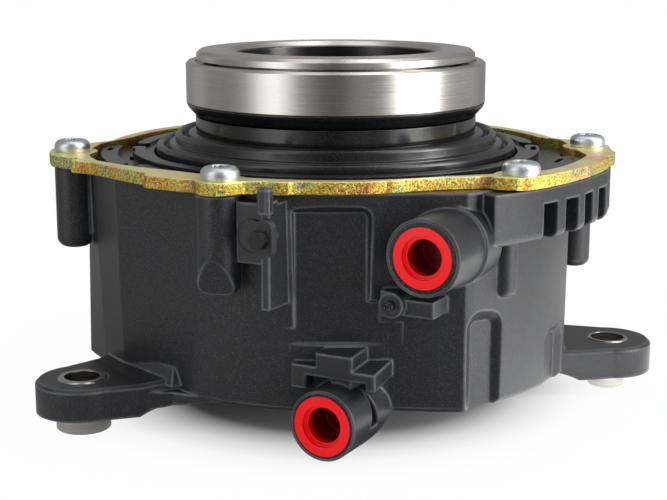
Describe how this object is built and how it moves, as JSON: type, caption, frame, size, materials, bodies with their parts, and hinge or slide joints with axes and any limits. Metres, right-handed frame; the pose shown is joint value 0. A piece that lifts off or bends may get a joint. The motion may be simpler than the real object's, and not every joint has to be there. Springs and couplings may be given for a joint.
{
  "type": "clutch actuator",
  "caption": "Ring-shaped air clutch actuator: a footed black drum with a zinc yellow retaining plate, dust boot, sliding ring piston, release bearing and plugged air ports.",
  "frame": {"origin": "on the axis of the drum, in the plane that the foot bushes stand on", "axes": "+Z along the axis towards the release bearing; the air ports look along -Y"},
  "size_m": [0.2341, 0.2426, 0.148],
  "materials": {
    "black_moulding": "fine grained charcoal moulding",
    "yellow_zinc": "iridescent yellow zinc plate",
    "silver_zinc": "clear zinc plate, satin",
    "gloss_black": "glossy black",
    "seal_rubber": "matte rubber",
    "boot_rubber": "satin black rubber",
    "ground_steel": "ground steel",
    "cast_aluminium": "turned aluminium",
    "bearing_plastic": "sliding plastic",
    "spring_steel": "oiled spring steel",
    "magnet": "nickel plate",
    "dark_steel": "dark satin steel",
    "brushed_steel": "brushed steel",
    "ball_steel": "polished steel",
    "cage_plastic": "black cage plastic",
    "bush_steel": "machined steel",
    "collar_black": "satin black",
    "red_plastic": "glossy red",
    "sensor_black": "matte black",
    "dark_screw": "black oxide steel"
  },
  "bodies": {
    "housing": {"housing": "black_moulding", "retaining_plate": "yellow_zinc", "plate_screws": "silver_zinc", "cover_ring": "gloss_black", "cover_seal": "seal_rubber", "dust_boot": "boot_rubber", "guide_sleeve": "ground_steel", "sleeve_seal": "seal_rubber", "sleeve_screws": "silver_zinc", "preload_spring": "spring_steel", "mounting_sleeves": "bush_steel", "supply_port_collar": "collar_black", "supply_port_plug": "red_plastic", "exhaust_port_collar": "collar_black", "exhaust_port_plug": "red_plastic", "travel_sensor": "sensor_black", "sensor_gasket": "seal_rubber", "sensor_screw": "dark_screw", "duct_plug": "collar_black"},
    "piston": {"ring_piston": "cast_aluminium", "piston_outer_seal": "seal_rubber", "piston_inner_seal": "seal_rubber", "piston_wear_ring": "bearing_plastic", "guide_bushes": "bearing_plastic", "spring_seat": "ground_steel", "position_magnet": "magnet", "bearing_carrier": "dark_steel", "bearing_outer_ring": "brushed_steel", "bearing_shell": "boot_rubber", "carrier_clip": "spring_steel"},
    "inner_race": {"bearing_inner_ring": "brushed_steel"},
    "ball_set": {"bearing_balls": "ball_steel", "bearing_cage": "cage_plastic"}
  },
  "joints": [
    {"name": "piston_slide", "type": "slide", "parent": "housing", "child": "piston", "axis": [0, 0, 1], "range_m": [0, 0.025], "deforming": ["dust_boot", "preload_spring"]},
    {"name": "bearing_spin", "type": "hinge", "parent": "piston", "child": "inner_race", "pos_m": [0, 0, 0.1356], "axis": [0, 0, 1], "continuous": true},
    {"name": "ball_set_spin", "type": "hinge", "parent": "piston", "child": "ball_set", "pos_m": [0, 0, 0.1356], "axis": [0, 0, 1], "continuous": true}
  ],
  "couplings": [
    {"joint": "ball_set_spin", "follows": "bearing_spin", "ratio": 0.461}
  ]
}
